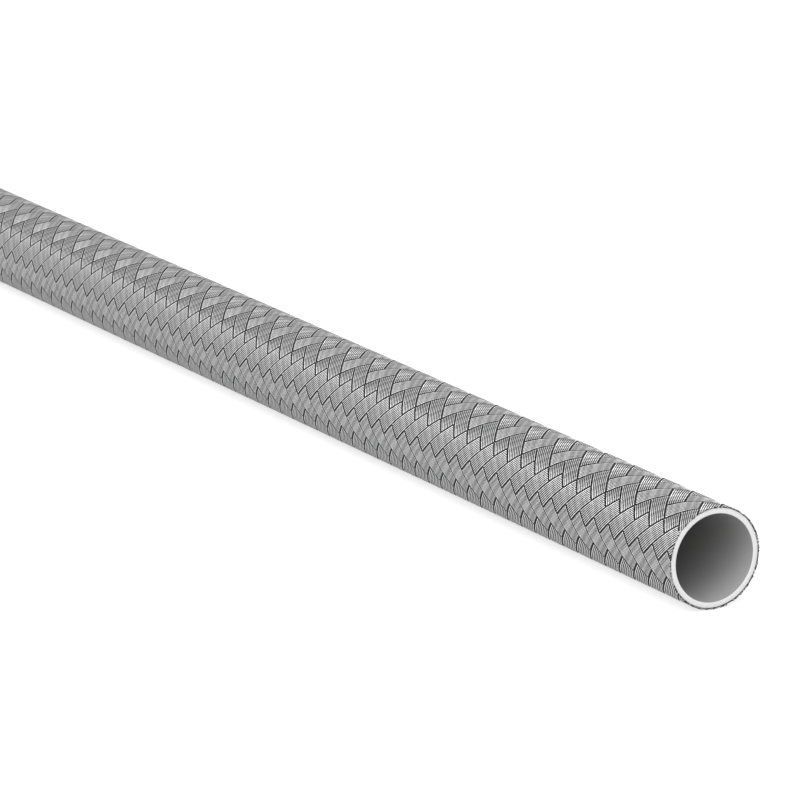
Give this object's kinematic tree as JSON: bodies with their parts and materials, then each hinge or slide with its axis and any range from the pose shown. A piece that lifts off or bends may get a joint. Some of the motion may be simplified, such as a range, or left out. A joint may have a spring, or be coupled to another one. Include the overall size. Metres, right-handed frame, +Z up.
{
  "type": "ptfe hose",
  "caption": "Straight length of smooth-bore white PTFE hose under a woven stainless steel wire braid, cut square at both ends.",
  "frame": {"origin": "middle of the hose's length, on the surface that it lies on", "axes": "+X along the hose towards the cut end nearest the viewer, +Z up"},
  "size_m": [0.5, 0.0296, 0.0296],
  "materials": {
    "ptfe": "milky white extruded tube, satin bore, clean knife-cut ends",
    "stainless_wire": "bright drawn wire, dark between the strands"
  },
  "bodies": {
    "root": {"ptfe_liner": "ptfe", "steel_braid": "stainless_wire"}
  },
  "joints": []
}
